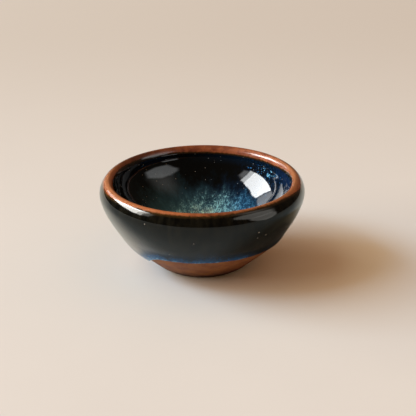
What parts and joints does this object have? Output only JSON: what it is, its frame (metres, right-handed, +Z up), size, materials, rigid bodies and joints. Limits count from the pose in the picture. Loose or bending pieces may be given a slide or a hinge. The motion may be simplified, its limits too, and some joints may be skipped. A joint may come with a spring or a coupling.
{
  "type": "tea bowl",
  "caption": "Low round tea bowl with a turned-in lip, flared foot, dark glaze breaking brown at the lip, a blue rolled hem and a crystalline pool in the well.",
  "frame": {"origin": "middle of the foot ring, on the surface that the bowl stands on", "axes": "+Z up along the axis on which the bowl was thrown, -Y towards the viewer of the picture, +X to the viewer's right"},
  "size_m": [0.0908, 0.0908, 0.04],
  "materials": {
    "clay": "unglazed red-brown stoneware, satin",
    "outer_glaze": "black iron glaze, glossy",
    "hem_glaze": "thick rolled glaze edge, black to pale blue, glossy",
    "lip_glaze": "thin iron glaze broken to rust brown, glossy",
    "inner_glaze": "black to navy iron glaze with fine blue flecks, glossy",
    "well_glaze": "blue-green crystalline glaze pool, glossy"
  },
  "bodies": {
    "root": {"clay_body": "clay", "outer_glaze": "outer_glaze", "glaze_hem": "hem_glaze", "lip_glaze": "lip_glaze", "inner_glaze": "inner_glaze", "well_glaze": "well_glaze"}
  },
  "joints": []
}
